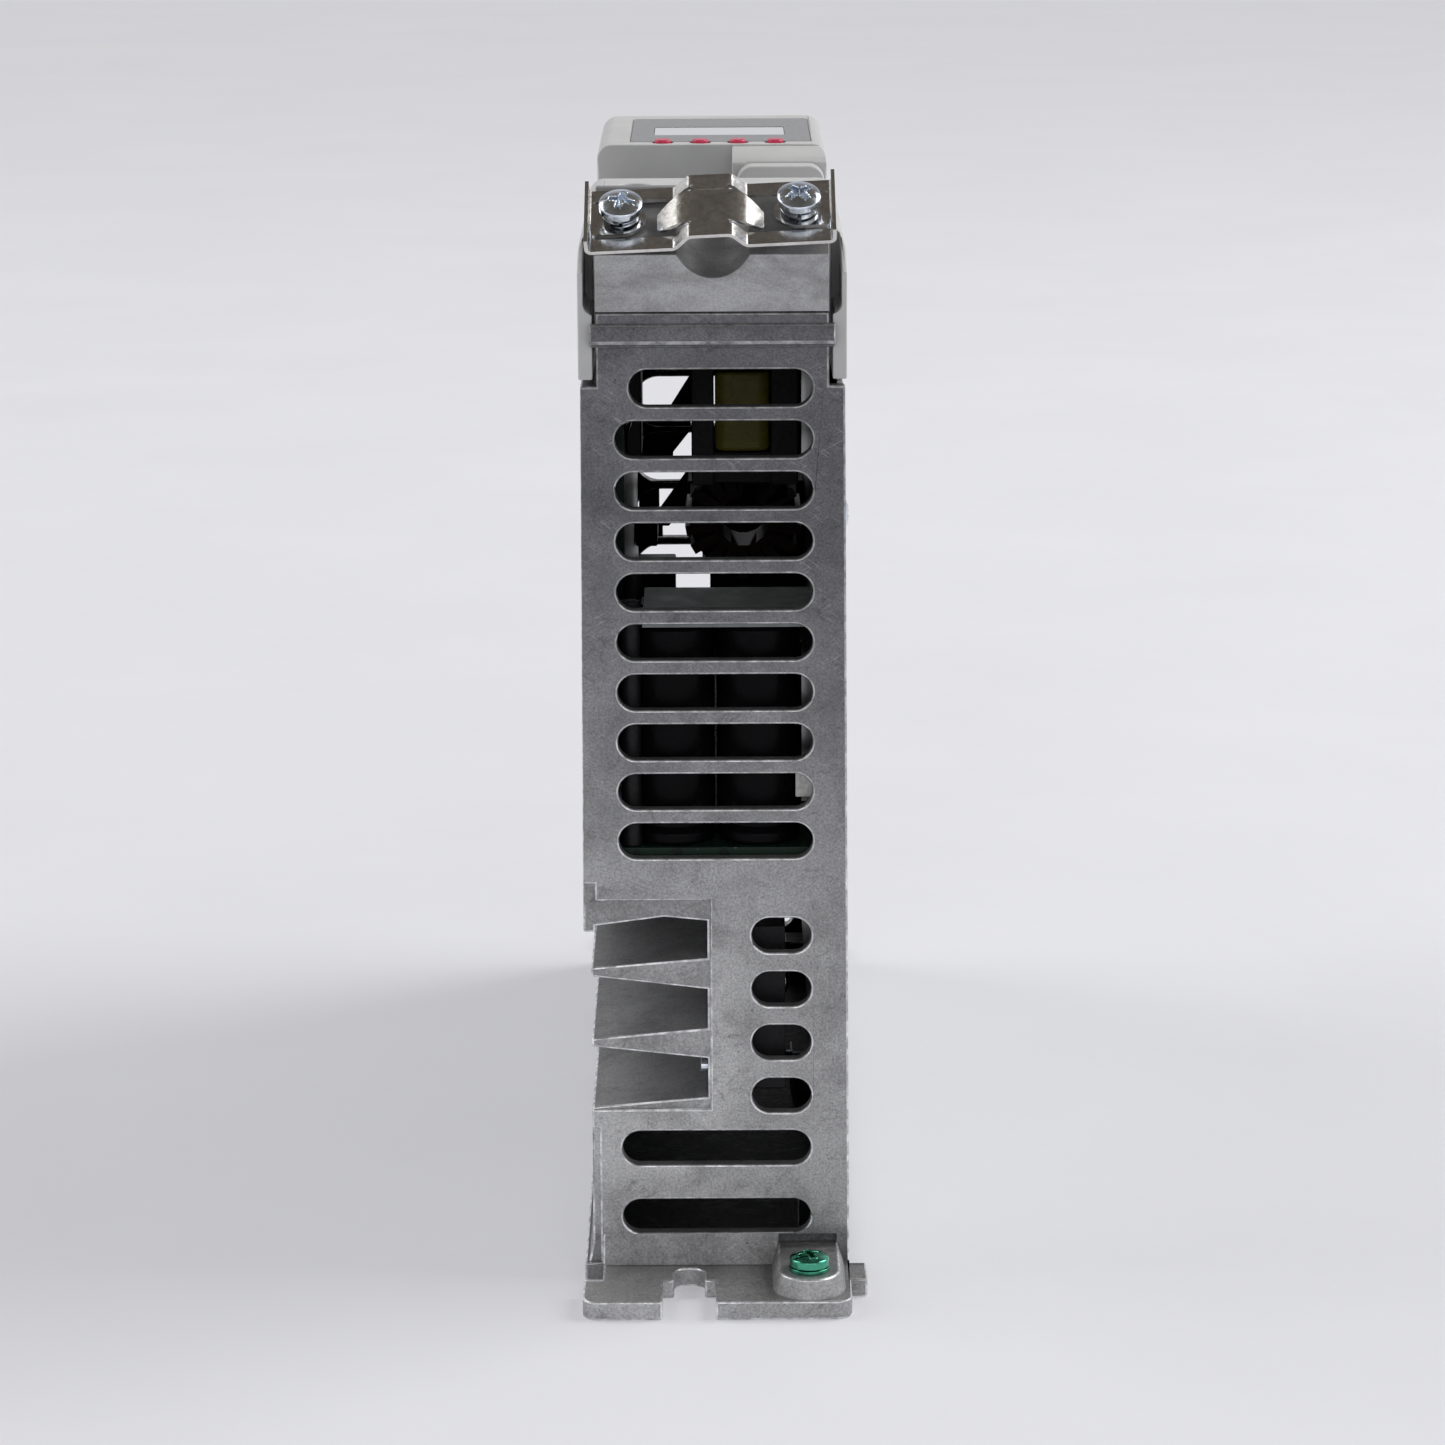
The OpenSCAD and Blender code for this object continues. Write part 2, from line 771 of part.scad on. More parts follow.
module choke_winding() {
    color([0.42, 0.2, 0.1])
    difference() {
        union() {
            for (a = [0:20:340])
                translate([6.4, 18, 127])
                    rotate([0, a, 0])
                        translate([0, 0, 8.9])
                            block([-1.1, 1.1], [-7.1, 7.1], [-3.6, 3.6]);
        }
        translate([6.4, 18, 127])
            rotate([90, 0, 0])
                rotate_extrude($fn = 64)
                    translate([6.35, -6.05])
                        square([5.1, 12.1]);
    }
}

module precharge_relay() {
    color([0.07, 0.07, 0.08]) {
        block([-5.8, board_x - 0.1], [60, 72], [113.4, 126.5]);
        block([-0.9, board_x - 0.1], [76, 92], [92, 113]);
    }
}

module film_capacitors() {
    color([0.08, 0.08, 0.09]) {
        block([-17.5, -8.8], [78, 92], [88, 103.4]);
        block([-17.5, -12.6], [58, 72], [112, 118]);
        block([-17.5, -14.4], [-40, -20], [150, 168]);
    }
}

module power_module() {
    color([0.07, 0.07, 0.08])
    difference() {
        block([cavity_x + 0.5, cavity_x + 11], [-102, -38], [37, 70]);
        for (y = module_y)
            post_x([0, 20], y, module_z, 1.75);
    }
}

module heat_pad() {
    color([0.75, 0.76, 0.78])
    difference() {
        block([cavity_x + 0.01, cavity_x + 0.49], [-102, -38], [37, 70]);
        for (y = module_y)
            post_x([0, 20], y, module_z, 1.75);
    }
}

module module_screws() {
    color([0.72, 0.73, 0.74])
    for (y = module_y)
        translate([cavity_x + 11 + eps, y, module_z])
            rotate([0, 90, 0])
                pan_screw(2.8, 1.8, 1.5, 16.4);
}

module sense_connector() {
    color([0.85, 0.85, 0.82])
    difference() {
        block([15.4, board_x - 0.05], [near + 4.2, near + 7.4], [95.9, 101.4]);
        for (i = [0:1])
            block([15, 18], [near + 5, near + 6.6], [96.7 + i * 2.3, 98.3 + i * 2.3]);
    }
}

// Connector base with square pin pockets open towards the front
module socket_body(x, y, z, ways, depth) {
    pitch = (x[1] - x[0] - 2) / ways;
    difference() {
        block(x, y, z);
        for (i = [0:ways - 1])
            block([x[0] + 1.6 + i * pitch, x[0] + 0.4 + (i + 1) * pitch],
                [y[0] + 1.6, y[1] - 1.6], [z[1] - depth, z[1] + 1]);
    }
}

// Cable plug with one wire entry and one screw opening for each way
module plug_body(x, y, z, ways, foot) {
    pitch = (x[1] - x[0] - 2) / ways;
    deep = y[1] - y[0];
    difference() {
        block(x, y, z);
        for (i = [0:ways - 1]) {
            cx = x[0] + 1 + (i + 0.5) * pitch;
            block([cx - pitch * 0.34, cx + pitch * 0.34], [y[0] + 2, y[0] + 2 + deep * 0.3],
                [z[0] + 3, z[1] + 1]);
            post(cx, y[1] - deep * 0.28, [z[0] + 4, z[1] + 1], min(pitch * 0.3, deep * 0.18));
        }
    }
    for (i = [0:ways - 1]) {
        cx = x[0] + 1 + (i + 0.5) * pitch;
        block([cx - pitch * 0.26, cx + pitch * 0.26], [y[0] + foot[0], y[1] - foot[0]],
            [z[0] - foot[1], z[0] + eps]);
    }
}

// Clamping screws that sit in the plug's screw openings
module plug_screws(x, y, z, ways) {
    pitch = (x[1] - x[0] - 2) / ways;
    deep = y[1] - y[0];
    for (i = [0:ways - 1])
        translate([x[0] + 1 + (i + 0.5) * pitch, y[1] - deep * 0.28, z[0] + 4 + eps])
            difference() {
                cylinder(h = z[1] - z[0] - 6, r = min(pitch * 0.3, deep * 0.18) - 0.1, $fn = 32);
                translate([-pitch, -0.35, z[1] - z[0] - 7])
                    cube([2 * pitch, 0.7, 5]);
            }
}

module power_socket() {
    color([0.12, 0.12, 0.13])
    socket_body([-17.5, 17.5], [-75, -41], [175.2, 183.8], 4, 6.8);
}

module power_plug() {
    color([0.18, 0.19, 0.19])
    plug_body([-17.5, 17.5], [-75, -41], [184.1, 199.6], 4, [2.4, 5.8]);
}

module power_plug_screws() {
    color([0.7, 0.7, 0.68])
    plug_screws([-17.5, 17.5], [-75, -41], [184.1, 199.6], 4);
}

module control_socket() {
    color([0.12, 0.13, 0.12])
    socket_body([-20, 1.8], [30, 46], [172, 183.8], 6, 7);
}

module control_plug() {
    color([0.14, 0.15, 0.14])
    plug_body([-20, 1.8], [30, 46], [184.1, 191.4], 6, [2.4, 6]);
}

module network_jacks() {
    color([0.3, 0.31, 0.32])
    difference() {
        for (y = [[-7.6, 8.9], [10.1, 26.6]])
            block([-20, -5], y, [168, 188.5]);
        for (y = [-7.6, 10.1]) {
            block([-18.4, -6.6], [y + 2.4, y + 14.1], [176, 190]);
            block([-15.4, -9.6], [y + 1.2, y + 3], [176, 190]);
        }
    }
}

module encoder_socket() {
    color([0.62, 0.63, 0.63])
    difference() {
        union() {
            block([6.8, 21.2], [-5.6, 25.6], [180, 186.8]);
            d_shell([8.8, 19.2], [1.4, 18.6], [186.8 - eps, 192.4]);
        }
        d_shell([9.6, 18.4], [2.2, 17.8], [187.6, 195]);
        for (y = [-2.6, 22.6])
            post(14, y, [178, 190], 1.5);
    }
}

// D-shaped ring body of the encoder socket
module d_shell(x, y, z) {
    translate([0, 0, z[0]])
        linear_extrude(z[1] - z[0])
            polygon([[x[0], y[0]], [x[1], y[0] + 1.6], [x[1], y[1] - 1.6], [x[0], y[1]]]);
}

// Round-topped grip of the parameter module
module arch_outline() {
    intersection() {
        round_rect([5.5, 24.3], [185, 199.5], 3.4);
        translate([0, 193.7])
            square([40, 20]);
    }
}

module parameter_module() {
    color([0.78, 0.78, 0.76]) {
        round_block([6.7, 22.9], [28.4, 44.1], [184.1, 194], 3.6);
        along_y([38.5, 44.1])
            arch_outline();
        block([10, 19.6], [32, 40.5], [176.5, 184.2]);
    }
}

module module_header() {
    color([0.1, 0.1, 0.11])
    difference() {
        block([8.2, 21.4], [30.2, 42.3], [174.2, 183.8]);
        block([9.7, 19.9], [31.7, 40.8], [175.8, 190]);
    }
}

// Frame of the mains connector, whose plug leaves towards the far end
module on_far_end() {
    rotate([-90, 0, 0])
        children();
}

module mains_socket() {
    color([0.12, 0.12, 0.13])
    on_far_end()
        socket_body([-16, 16], [-190.6, -177.4], [far - 30, far - 15.2], 4, 8);
}

module mains_plug() {
    color([0.18, 0.19, 0.19])
    on_far_end()
        plug_body([-16, 16], [-190.6, -177.4], [far - 15, far + 0.2], 4, [2.4, 7]);
}

module mains_plug_screws() {
    color([0.7, 0.7, 0.68])
    on_far_end()
        plug_screws([-16, 16], [-190.6, -177.4], [far - 15, far + 0.2], 4);
}

chassis_casting();
side_cover();
cover_screws();
front_hood();
hood_screws();
display_panel();
display_window();
display_module();
keypad_board();
key(0);  // key_1
key(1);  // key_2
key(2);  // key_3
key(3);  // key_4
ribbon_cable();
shield_bracket();
bracket_screws();
shield_clamp();
clamp_screw(-1, head_rise[0]);  // clamp_screw_left
clamp_screw(1, head_rise[1]);  // clamp_screw_right
clamp_washers();
ground_screw();
ground_washer();
power_board();
control_board();
board_spacers();
board_screws();
capacitor_board();
bus_capacitors();
insulating_deck();
deck_pillars();
transformer_core();
transformer_winding();
filter_choke();
choke_winding();
precharge_relay();
film_capacitors();
power_module();
heat_pad();
module_screws();
sense_connector();
power_socket();
power_plug();
power_plug_screws();
control_socket();
control_plug();
network_jacks();
encoder_socket();
parameter_module();
module_header();
mains_socket();
mains_plug();
mains_plug_screws();
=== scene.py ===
"""Looks of the book-format power converter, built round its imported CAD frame."""

import json
import math

import bmesh
import bpy
from mathutils import Matrix, Vector

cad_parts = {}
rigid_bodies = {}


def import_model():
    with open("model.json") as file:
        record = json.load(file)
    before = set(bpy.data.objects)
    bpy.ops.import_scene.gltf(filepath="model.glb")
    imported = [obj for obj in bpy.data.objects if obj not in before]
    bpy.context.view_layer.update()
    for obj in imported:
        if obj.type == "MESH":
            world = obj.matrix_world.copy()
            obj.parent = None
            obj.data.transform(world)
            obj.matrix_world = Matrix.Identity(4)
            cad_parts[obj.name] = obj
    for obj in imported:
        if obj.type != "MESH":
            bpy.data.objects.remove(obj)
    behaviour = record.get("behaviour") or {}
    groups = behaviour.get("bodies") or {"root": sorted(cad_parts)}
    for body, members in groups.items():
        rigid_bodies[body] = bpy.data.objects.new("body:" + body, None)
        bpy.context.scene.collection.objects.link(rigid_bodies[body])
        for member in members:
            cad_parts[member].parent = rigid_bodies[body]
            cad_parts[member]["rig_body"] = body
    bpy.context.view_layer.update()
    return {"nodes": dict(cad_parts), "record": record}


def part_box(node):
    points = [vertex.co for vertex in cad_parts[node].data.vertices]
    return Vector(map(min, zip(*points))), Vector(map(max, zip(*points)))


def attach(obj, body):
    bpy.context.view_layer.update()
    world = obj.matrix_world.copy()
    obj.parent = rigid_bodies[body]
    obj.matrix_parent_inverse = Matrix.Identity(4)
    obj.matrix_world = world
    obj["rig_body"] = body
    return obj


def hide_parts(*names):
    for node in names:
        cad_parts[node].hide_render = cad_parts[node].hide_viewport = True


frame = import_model()
MM = 0.001
NODES = frame["nodes"]
BODY_OF = {name: node["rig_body"] for name, node in NODES.items()}
SLOT_OF = {row["node"]: row["material_slot"] for row in frame["record"]["subparts"]}
JOINTS = {row["name"]: row for row in frame["record"]["behaviour"]["joints"]}
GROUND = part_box("ground_washer")


# ---------------------------------------------------------------- camera and stage

CAMERA_AT_MM = (0.39, -943.1, 315.3)
CAMERA_SENSOR, CAMERA_LENS = 36, 113.36
CAMERA_YAW, CAMERA_SLOPE, CAMERA_ROLL = 0.001354, 0.24377, 0.005


def make_camera():
    """Camera in front of the cable end, looking slightly down along the housing."""
    data = bpy.data.cameras.new("camera")
    data.sensor_width = CAMERA_SENSOR
    data.lens = CAMERA_LENS
    data.clip_start, data.clip_end = 0.05, 20
    camera = bpy.data.objects.new("camera", data)
    camera.location = Vector(CAMERA_AT_MM) * MM
    forward = Vector((CAMERA_YAW, 1, -CAMERA_SLOPE)).normalized()
    level = forward.to_track_quat("-Z", "Y").to_matrix()
    camera.rotation_mode = "QUATERNION"
    camera.rotation_quaternion = (level @ Matrix.Rotation(-CAMERA_ROLL, 3, "Z")).to_quaternion()
    bpy.context.scene.collection.objects.link(camera)
    bpy.context.scene.camera = camera


LIGHT_AIM = (0, 0, 0.1)
LIGHTS = (
    ("key_left", (-1.7, 0.4, 1.6), (1.4, 1.4), 17),
    ("key_right", (1.7, 0.4, 1.6), (1.4, 1.4), 32),
    ("fill_front", (0.3, -2.2, 1.1), (2.4, 1.0), 8),
)


def area_light(name, place, size, power):
    """Soft rectangular light that faces the object; place and size in metres, power in watts."""
    data = bpy.data.lights.new(name, "AREA")
    data.shape = "RECTANGLE"
    data.size, data.size_y = size
    data.energy = power
    light = bpy.data.objects.new(name, data)
    light.location = place
    aim = Vector(LIGHT_AIM) - Vector(place)
    light.rotation_mode = "QUATERNION"
    light.rotation_quaternion = aim.to_track_quat("-Z", "Y")
    bpy.context.scene.collection.objects.link(light)


SKY = ((0.0, (0.62, 0.63, 0.66)), (0.45, (0.62, 0.63, 0.66)), (0.78, (0.16, 0.14, 0.12)),
       (1.0, (0.10, 0.092, 0.085)))


def make_world():
    """Pale studio surroundings: bright low down, dim overhead."""
    world = bpy.data.worlds.new("studio")
    bpy.context.scene.world = world
    world.use_nodes = True
    nodes, links = world.node_tree.nodes, world.node_tree.links
    nodes.clear()
    place = nodes.new("ShaderNodeTexCoord")
    split = nodes.new("ShaderNodeSeparateXYZ")
    ramp = nodes.new("ShaderNodeValToRGB")
    glow = nodes.new("ShaderNodeBackground")
    out = nodes.new("ShaderNodeOutputWorld")
    stops = ramp.color_ramp.elements
    stops[0].position, stops[1].position = SKY[0][0], SKY[-1][0]
    for position, _ in SKY[1:-1]:
        stops.new(position)
    for stop, (_, colour) in zip(stops, SKY):
        stop.color = (*colour, 1)
    links.new(place.outputs["Generated"], split.inputs[0])
    links.new(split.outputs["Z"], ramp.inputs[0])
    links.new(ramp.outputs[0], glow.inputs[0])
    glow.inputs[1].default_value = 1.0
    links.new(glow.outputs[0], out.inputs[0])


FLOOR_X, FLOOR_Y = (-9, 9), (-3, 14)


def make_stage():
    """Wide flat floor of pale paper that fills the background."""
    (left, right), (front, back) = FLOOR_X, FLOOR_Y
    corners = [(left, front, 0), (right, front, 0), (right, back, 0), (left, back, 0)]
    mesh = bpy.data.meshes.new("floor")
    mesh.from_pydata(corners, [], [(0, 1, 2, 3)])
    floor = bpy.data.objects.new("floor", mesh)
    bpy.context.scene.collection.objects.link(floor)
    mesh.materials.append(paper())


# ---------------------------------------------------------------- material helpers

class Shader:
    """One node material, with short calls for the nodes that the looks need."""

    def __init__(self, name):
        self.material = bpy.data.materials.new(name)
        self.material.use_nodes = True
        self.nodes = self.material.node_tree.nodes
        self.links = self.material.node_tree.links
        self.bsdf = self.nodes["Principled BSDF"]
        self.place = self.nodes.new("ShaderNodeTexCoord").outputs["Object"]
        self.height = None

    def set(self, **values):
        """Sets plain values on the Principled shader, with _ for a space."""
        for key, value in values.items():
            self.bsdf.inputs[key.replace("_", " ")].default_value = value

    def link(self, socket, key):
        self.links.new(socket, self.bsdf.inputs[key])

    def stretch(self, scale, turn=(0, 0, 0)):
        """Object coordinates stretched and turned, for grain that has a direction."""
        node = self.nodes.new("ShaderNodeMapping")
        node.inputs["Scale"].default_value = scale
        node.inputs["Rotation"].default_value = turn
        self.links.new(self.place, node.inputs["Vector"])
        return node.outputs[0]

    def noise(self, size_mm, detail=3.0, rough=0.55, place=None, twist=0.0):
        """Noise whose features are about size_mm across."""
        node = self.nodes.new("ShaderNodeTexNoise")
        node.inputs["Scale"].default_value = 1.0 / (size_mm * MM)
        node.inputs["Detail"].default_value = detail
        node.inputs["Roughness"].default_value = rough
        node.inputs["Distortion"].default_value = twist
        self.links.new(place or self.place, node.inputs["Vector"])
        return node.outputs["Fac"]

    def cells(self, size_mm, place=None):
        """Distance from the nearest of scattered points, about size_mm apart."""
        node = self.nodes.new("ShaderNodeTexVoronoi")
        node.inputs["Scale"].default_value = 1.0 / (size_mm * MM)
        self.links.new(place or self.place, node.inputs["Vector"])
        return node.outputs["Distance"]

    def span(self, value, low, high, to_low=0.0, to_high=1.0):
        """Maps low..high of a value to to_low..to_high, and holds it there."""
        node = self.nodes.new("ShaderNodeMapRange")
        for key, number in zip(("From Min", "From Max", "To Min", "To Max"),
                               (low, high, to_low, to_high)):
            node.inputs[key].default_value = number
        self.links.new(value, node.inputs["Value"])
        return node.outputs["Result"]

    def math(self, kind, a, b):
        """One sum on sockets or numbers."""
        node = self.nodes.new("ShaderNodeMath")
        node.operation = kind
        for slot, value in enumerate((a, b)):
            if isinstance(value, (int, float)):
                node.inputs[slot].default_value = value
            else:
                self.links.new(value, node.inputs[slot])
        return node.outputs[0]

    def axis(self, letter):
        node = self.nodes.new("ShaderNodeSeparateXYZ")
        self.links.new(self.place, node.inputs[0])
        return node.outputs[letter]

    def facing(self, letter):
        """Component of the surface's own direction along one axis, at rest."""
        tool = self.nodes.new("ShaderNodeTexCoord")
        node = self.nodes.new("ShaderNodeSeparateXYZ")
        self.links.new(tool.outputs["Normal"], node.inputs[0])
        return node.outputs[letter]

    def mix(self, share, a, b, blend="MIX"):
        """Colour between a and b; each may be a socket, a tuple or a number."""
        node = self.nodes.new("ShaderNodeMix")
        node.data_type = "RGBA"
        node.blend_type = blend
        for key, value in ((0, share), (6, a), (7, b)):
            if isinstance(value, (int, float)):
                node.inputs[key].default_value = value
            elif isinstance(value, tuple):
                node.inputs[key].default_value = (*value[:3], 1)
            else:
                self.links.new(value, node.inputs[key])
        return node.outputs[2]

    def raise_by(self, value, depth_mm):
        """Adds one layer of surface relief, depth_mm deep."""
        layer = self.math("MULTIPLY", value, depth_mm * MM)
        self.height = layer if self.height is None else self.math("ADD", self.height, layer)

    def times(self, *values):
        """Product of two or more sockets or numbers."""
        result = values[0]
        for value in values[1:]:
            result = self.math("MULTIPLY", result, value)
        return result

    def tinted(self, colour, shade):
        """Colour multiplied by a shade."""
        return self.mix(1.0, colour, shade, "MULTIPLY")

    def done(self):
        """Joins the relief to the shader and gives the finished material."""
        if self.height is not None:
            bump = self.nodes.new("ShaderNodeBump")
            bump.inputs["Strength"].default_value = 1.0
            bump.inputs["Distance"].default_value = 1.0
            self.links.new(self.height, bump.inputs["Height"])
            self.link(bump.outputs[0], "Normal")
        return self.material


def scratches(s, width_mm, length_mm, angle, share, lying=False):
    """Fine straight marks on upright faces, or on lying ones; share is how much has them."""
    tool = s.nodes.new("ShaderNodeMapping")
    tool.vector_type = "TEXTURE"
    fine = (length_mm, width_mm, length_mm) if lying else (length_mm, length_mm, width_mm)
    tool.inputs["Scale"].default_value = fine
    tool.inputs["Rotation"].default_value = (0, 0, angle) if lying else (0, angle, 0)
    s.links.new(s.place, tool.inputs["Vector"])
    line = s.span(s.noise(1.0, 1.0, place=tool.outputs[0]), 0.64, 0.69)
    return s.times(line, s.span(s.noise(7, 2), 0.60 - share, 0.68 - share))


# ---------------------------------------------------------------- materials

def paper():
    """Pale paper with faint scuffs, and a glow of its own that grows towards the back."""
    s = Shader("paper")
    s.set(Roughness=0.7, Specular_IOR_Level=0.2)
    cloud = s.span(s.noise(110, 4), 0.35, 0.7)
    colour = s.mix(cloud, (0.59, 0.593, 0.622), (0.615, 0.618, 0.65))
    scuff = s.span(s.noise(26, 5, 0.7, twist=2.4), 0.66, 0.72)
    colour = s.mix(s.times(scuff, 0.10), colour, (0.5, 0.5, 0.52))
    s.link(colour, "Base Color")
    s.set(Emission_Color=(0.97, 0.975, 1.0, 1))
    glow = s.span(s.axis("Y"), 0.4, 3.0, 0.235, 0.37)
    s.link(glow, "Emission Strength")
    s.raise_by(s.noise(9, 4), 0.12)
    return s.done()


def inside_shade_mask(s):
    """One on the faces inside the casting, which get painted shade, zero on its outer faces."""
    between_walls = s.span(s.math("ABSOLUTE", s.axis("Y"), 0), 0.1046, 0.1054, 1.0, 0.0)
    past_sink = s.span(s.axis("X"), -0.0022, -0.0012)
    past_wall = s.span(s.axis("X"), -0.0230, -0.0224)
    above_fins = s.span(s.axis("Z"), 0.0818, 0.0824)
    below_fins = s.span(s.axis("Z"), 0.0302, 0.0308, 1.0, 0.0)
    beside_fins = s.math("MAXIMUM", above_fins, below_fins)
    hidden = s.math("MAXIMUM", past_sink, s.times(past_wall, beside_fins))
    return s.times(between_walls, hidden)


def casting_pits(s):
    """One in scattered casting pits, zero elsewhere."""
    return s.times(s.span(s.cells(1.9), 0.04, 0.13, 1.0, 0.0), s.span(s.noise(6, 3), 0.52, 0.60))


def casting_grain(s):
    """Fine grain, with darker smears in patches."""
    grain = s.span(s.noise(0.45, 4, 0.75), 0.34, 0.68, 0.72, 1.38)
    smear = s.span(s.noise(1.6, 5, 0.72, twist=2.0), 0.60, 0.72, 1.0, 0.62)
    clean = s.span(s.noise(24, 2), 0.46, 0.56)
    return s.times(grain, s.math("MAXIMUM", smear, clean))


def casting_shade(s, pit):
    """How dark the casting is at each place: stains, grain and pits, with painted shade at the
    foot, in the recess and inside.
    """
    stain = s.span(s.noise(16, 5, 0.62, twist=0.6), 0.42, 0.70, 1.14, 0.70)
    blotch = s.span(s.noise(4.0, 6, 0.72, twist=1.2), 0.56, 0.68, 1.0, 0.70)
    # Painted shade at the foot of the casting, below 11.5 mm.
    low = s.span(s.axis("Z"), 0.0085, 0.0115, 1.0, 0.0)
    foot = s.times(low, s.span(s.axis("Y"), -0.1105, -0.1098))
    # Painted shade on faces that face the near end but sit back behind the near wall's face.
    behind_wall = s.span(s.axis("Y"), -0.1072, -0.1067)
    recess_shade = s.times(behind_wall, s.span(s.facing("Y"), -0.9, -0.6, 1.0, 0.0))
    return s.times(
        s.times(stain, blotch), casting_grain(s),
        s.span(pit, 0.0, 1.0, 1.0, 0.45),
        s.span(foot, 0.0, 1.0, 1.0, 0.55),
        # Painted shade inside the casting.
        s.span(inside_shade_mask(s), 0.0, 1.0, 1.0, 0.14),
        s.span(recess_shade, 0.0, 1.0, 1.0, 0.62),
    )


def casting_marks(s, up):
    """Scratches on the upright faces and on those that face up."""
    upright = s.math("MAXIMUM", scratches(s, 0.14, 4.5, 0.6, 0.10),
                     scratches(s, 0.11, 3.5, -0.5, 0.06))
    lying = s.math("MAXIMUM", scratches(s, 0.20, 8.0, 0.5, 0.16, True),
                   scratches(s, 0.16, 6.0, -0.25, 0.14, True))
    return s.math("MAXIMUM", s.times(upright, s.math("SUBTRACT", 1.0, up)), s.times(lying, up))


def cast_aluminium():
    """Die-cast aluminium: dull grain, darker stains, pits and a few scratches, with painted shade
    towards the top, on the right-hand side and on faces that face up.
    """
    s = Shader("cast_aluminium")
    # Painted shade: the casting is darker towards the top, from Z 52 mm to 150 mm.
    low = s.span(s.axis("Z"), 0.052, 0.150, 1.0, 0.0)
    colour = s.mix(low, (0.128, 0.128, 0.138), (0.40, 0.40, 0.401))
    # Painted shade: the casting is darker towards the right-hand side.
    colour = s.tinted(colour, s.span(s.axis("X"), -0.005, 0.023, 1.06, 0.84))
    pit = casting_pits(s)
    colour = s.tinted(colour, casting_shade(s, pit))
    up = s.span(s.facing("Z"), 0.55, 0.95)
    mark = casting_marks(s, up)
    # Painted shade: faces that face up are mixed towards dark grey.
    colour = s.mix(s.times(up, 0.28), colour, (0.075, 0.075, 0.08))
    colour = s.mix(s.times(mark, 0.42), colour, (0.50, 0.50, 0.52))
    s.link(colour, "Base Color")
    s.set(Metallic=0.70)
    s.link(s.span(s.noise(1.2, 4), 0.3, 0.7, 0.44, 0.62), "Roughness")
    s.raise_by(s.noise(0.36, 4, 0.7), 0.026)
    s.raise_by(s.noise(2.6, 3), 0.05)
    s.raise_by(s.times(pit, -1), 0.05)
    return s.done()


def rubbed_edge():
    """Edges of the casting, rubbed bright, with painted shade towards the top."""
    s = Shader("rubbed_edge")
    wear = s.span(s.noise(2.2, 4, 0.65), 0.36, 0.66)
    # Painted shade: the edges are darker towards the top.
    low = s.span(s.axis("Z"), 0.06, 0.17, 1.0, 0.45)
    tint = s.mix(wear, (0.40, 0.40, 0.41), (0.95, 0.95, 0.96))
    s.link(s.tinted(tint, low), "Base Color")
    s.set(Metallic=0.8)
    s.link(s.span(wear, 0, 1, 0.46, 0.28), "Roughness")
    s.raise_by(s.noise(0.4, 3), 0.02)
    return s.done()


BRACKET_TONE = 0.84


def blasted_aluminium():
    """Machined bracket, bead blasted, with faint smudges, fine scratches, and painted shade on
    faces that don't face the cable end.
    """
    s = Shader("blasted_aluminium")
    clean = tuple(c * BRACKET_TONE for c in (0.47, 0.47, 0.475))
    dirty = tuple(c * BRACKET_TONE for c in (0.31, 0.31, 0.315))
    smudge = s.span(s.noise(8, 6, 0.66, s.stretch((0.5, 1, 1.3)), twist=0.8), 0.44, 0.66)
    colour = s.mix(smudge, clean, dirty)
    colour = s.tinted(colour, s.span(s.noise(0.3, 4, 0.7), 0.35, 0.68, 0.84, 1.2))
    mark = scratches(s, 0.10, 5.0, 0.5, 0.08)
    colour = s.mix(s.times(mark, 0.5), colour, (0.24, 0.24, 0.25))
    # Painted shade on the faces that don't face the cable end.
    away_face_shade = s.span(s.facing("Y"), -0.9, -0.5, 1.0, 0.66)
    s.link(s.tinted(colour, away_face_shade), "Base Color")
    s.set(Metallic=0.6)
    s.link(s.span(s.noise(3, 4), 0.3, 0.7, 0.42, 0.56), "Roughness")
    s.raise_by(s.noise(0.26, 4, 0.7), 0.014)
    return s.done()


def sheet_aluminium():
    """Brushed sheet of the side cover, with painted shade that makes its inner face dark."""
    s = Shader("brushed_cover")
    brushed = s.noise(1.0, 4, 0.6, s.stretch((1, 0.02, 1)))
    colour = s.mix(brushed, (0.44, 0.45, 0.46), (0.60, 0.61, 0.62))
    # Painted shade on the inner face.
    inner_face_shade = s.span(s.facing("X"), -0.9, -0.4, 0.04, 1.0)
    s.link(s.tinted(colour, inner_face_shade), "Base Color")
    s.set(Metallic=0.85)
    s.link(s.span(brushed, 0.3, 0.7, 0.34, 0.5), "Roughness")
    s.raise_by(s.noise(0.25, 3, 0.6, s.stretch((1, 0.02, 1))), 0.006)
    return s.done()


HOOD_COLOUR = (0.615, 0.615, 0.61)


def moulded_plastic():
    """Injection-moulded hood with a fine eroded grain, a little dust, and painted shade on the
    faces towards the cable end.
    """
    s = Shader("hood_plastic")
    r, g, b = HOOD_COLOUR
    shade = s.span(s.noise(14, 4), 0.35, 0.7)
    tint = s.mix(shade, HOOD_COLOUR, (r * 0.9, g * 0.9, b * 0.89))
    specks = s.span(s.noise(0.5, 3, 0.8), 0.60, 0.78)
    tint = s.mix(s.times(specks, 0.10), tint, (0.45, 0.44, 0.42))
    # Painted shade on the faces that face the cable end.
    near_face_shade = s.span(s.facing("Y"), -0.95, -0.6, 0.76, 1.0)
    s.link(s.tinted(tint, near_face_shade), "Base Color")
    s.link(s.span(s.noise(2.0, 3), 0.3, 0.7, 0.43, 0.55), "Roughness")
    s.raise_by(s.noise(0.32, 3, 0.7), 0.010)
    return s.done()


